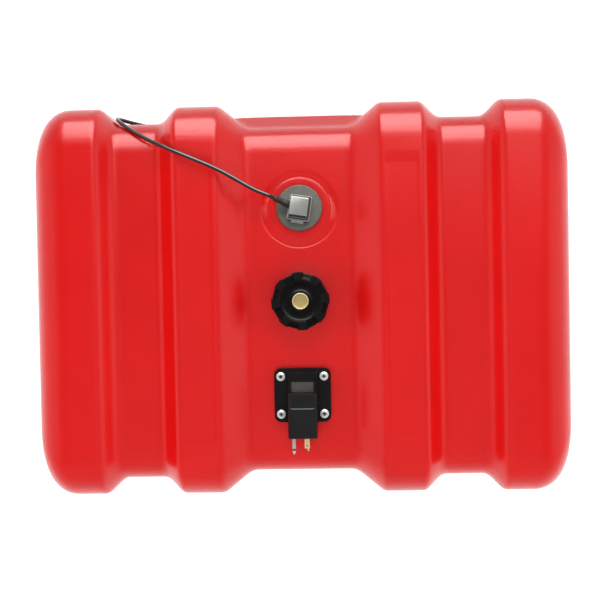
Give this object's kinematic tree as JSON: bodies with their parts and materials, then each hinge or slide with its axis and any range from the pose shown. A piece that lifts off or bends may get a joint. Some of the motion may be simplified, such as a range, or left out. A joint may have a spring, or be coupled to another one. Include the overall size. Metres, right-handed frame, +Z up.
{
  "type": "portable outboard fuel tank",
  "caption": "Low ribbed plastic fuel tank lying flat, with a vented screw cap, a gauge and pick-up plate with a two-prong connector, and an electric level sender with its lead.",
  "frame": {"origin": "on the ground under the middle of the tank, which lies on its lower ribs", "axes": "+X along the tank's length to the right as the fittings are read, +Y to the rear, where the sender stands, and +Z up"},
  "size_m": [0.6, 0.44, 0.2612],
  "materials": {
    "tank_plastic": "red blow-moulded polyethylene with a fine pebble grain",
    "black_plastic": "black moulded plastic, satin",
    "seal_rubber": "fuel-proof rubber",
    "lead_rubber": "smooth black cable jacket",
    "brass": "turned brass",
    "bright_steel": "plated or stainless steel",
    "dull_zinc": "dull passivated zinc plate",
    "machined_zinc": "cast zinc with machined bevels",
    "smoked_lens": "smoke-tinted clear plastic",
    "dial_plastic": "pale moulded plastic",
    "float_foam": "closed-cell foam float",
    "board_green": "printed circuit board"
  },
  "bodies": {
    "tank": {"tank_shell": "tank_plastic", "thread_inserts": "brass", "plate_gasket": "seal_rubber", "gauge_plate": "black_plastic", "plate_screws": "bright_steel", "connector_body": "black_plastic", "gauge_window": "smoked_lens", "fuel_prong": "bright_steel", "locating_prong": "brass", "pickup_tube": "bright_steel", "pickup_screen": "black_plastic", "float_pin": "bright_steel", "sender_gasket": "seal_rubber", "sender_flange": "dull_zinc", "sender_head": "machined_zinc", "stem_tube": "bright_steel", "reed_board": "board_green", "stem_clip": "bright_steel", "lead_boot": "lead_rubber", "sender_lead": "lead_rubber", "lead_plug": "black_plastic", "plug_pins": "brass"},
    "cap_ring": {"cap_seal": "seal_rubber"},
    "cap": {"filler_cap": "black_plastic", "vent_spring": "bright_steel"},
    "vent": {"vent_button": "brass", "vent_seal": "seal_rubber", "vent_clip": "bright_steel"},
    "gauge_arm": {"float_arm": "bright_steel", "gauge_float": "float_foam", "gauge_dial": "dial_plastic", "float_clip": "bright_steel"},
    "ring_float": {"sender_float": "float_foam", "float_magnet": "dull_zinc"}
  },
  "joints": [
    {"name": "cap_rise", "type": "slide", "parent": "tank", "child": "cap_ring", "axis": [0, 0, 1], "range_m": [0, 0.0075]},
    {"name": "cap_turn", "type": "hinge", "parent": "cap_ring", "child": "cap", "pos_m": [0, -0.002, 0.245], "axis": [0, 0, 1], "range_deg": [0, 541]},
    {"name": "vent_press", "type": "slide", "parent": "cap", "child": "vent", "axis": [0, 0, -1], "range_m": [0, 0.0025], "stiffness_N_per_m": 600, "springref_m": -0.004, "deforming": ["vent_spring"]},
    {"name": "float_swing", "type": "hinge", "parent": "tank", "child": "gauge_arm", "pos_m": [0, -0.1, 0.223], "axis": [0, -1, 0], "range_deg": [0, 63]},
    {"name": "sender_rise", "type": "slide", "parent": "tank", "child": "ring_float", "axis": [0, 0, 1], "range_m": [0, 0.14]}
  ],
  "couplings": [
    {"joint": "cap_turn", "follows": "cap_rise", "rad_per_m": 1256.6}
  ]
}
